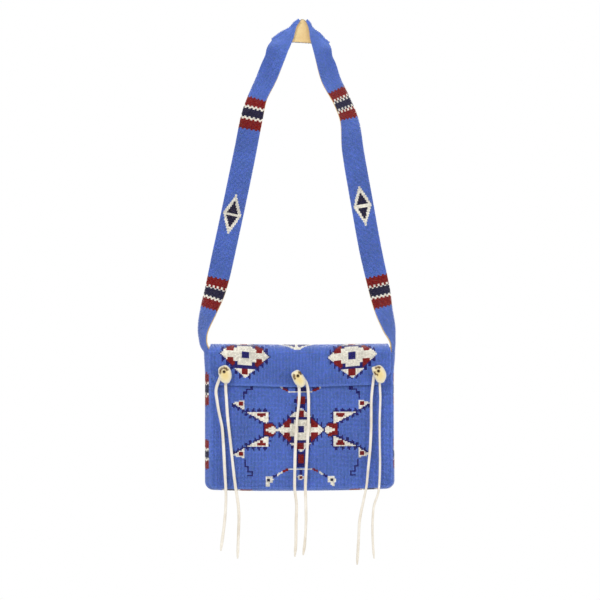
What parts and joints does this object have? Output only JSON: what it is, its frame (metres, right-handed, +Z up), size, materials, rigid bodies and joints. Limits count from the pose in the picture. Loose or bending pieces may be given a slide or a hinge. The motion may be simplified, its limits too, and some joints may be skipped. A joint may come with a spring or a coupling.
{
  "type": "beaded purse",
  "caption": "Hide shoulder purse covered in lane-sewn beadwork, with a flap, a boxed gusset, a long strap, and drilled elk teeth with hide thongs.",
  "frame": {"origin": "the point the strap hangs from, at the top of its fold", "axes": "+Z up along the hang, -Y out of the front, +X to the right seen from the front"},
  "size_m": [0.2225, 0.0529, 0.6092],
  "materials": {
    "beadwork": "opaque glass seed beads sewn in lanes, blue with white, dark red and navy fields",
    "hide": "soft tanned hide, matt",
    "strap_lining": "tan hide, suede side out",
    "ivory": "polished elk tooth, cream with brown staining",
    "sinew": "dark twisted sinew",
    "thong": "cream hide lace"
  },
  "bodies": {
    "root": {"front_hide": "hide", "front_beadwork": "beadwork", "back_flap_hide": "hide", "back_flap_beadwork": "beadwork", "gusset_hide": "hide", "gusset_beadwork": "beadwork", "strap_hide": "strap_lining", "strap_beadwork": "beadwork", "tooth_left": "ivory", "tooth_centre": "ivory", "tooth_right": "ivory", "sinew_left": "sinew", "sinew_centre": "sinew", "sinew_right": "sinew", "thong_left_outer": "thong", "thong_left_inner": "thong", "thong_centre_left": "thong", "thong_centre_right": "thong", "thong_right_inner": "thong", "thong_right_outer": "thong"}
  },
  "joints": []
}
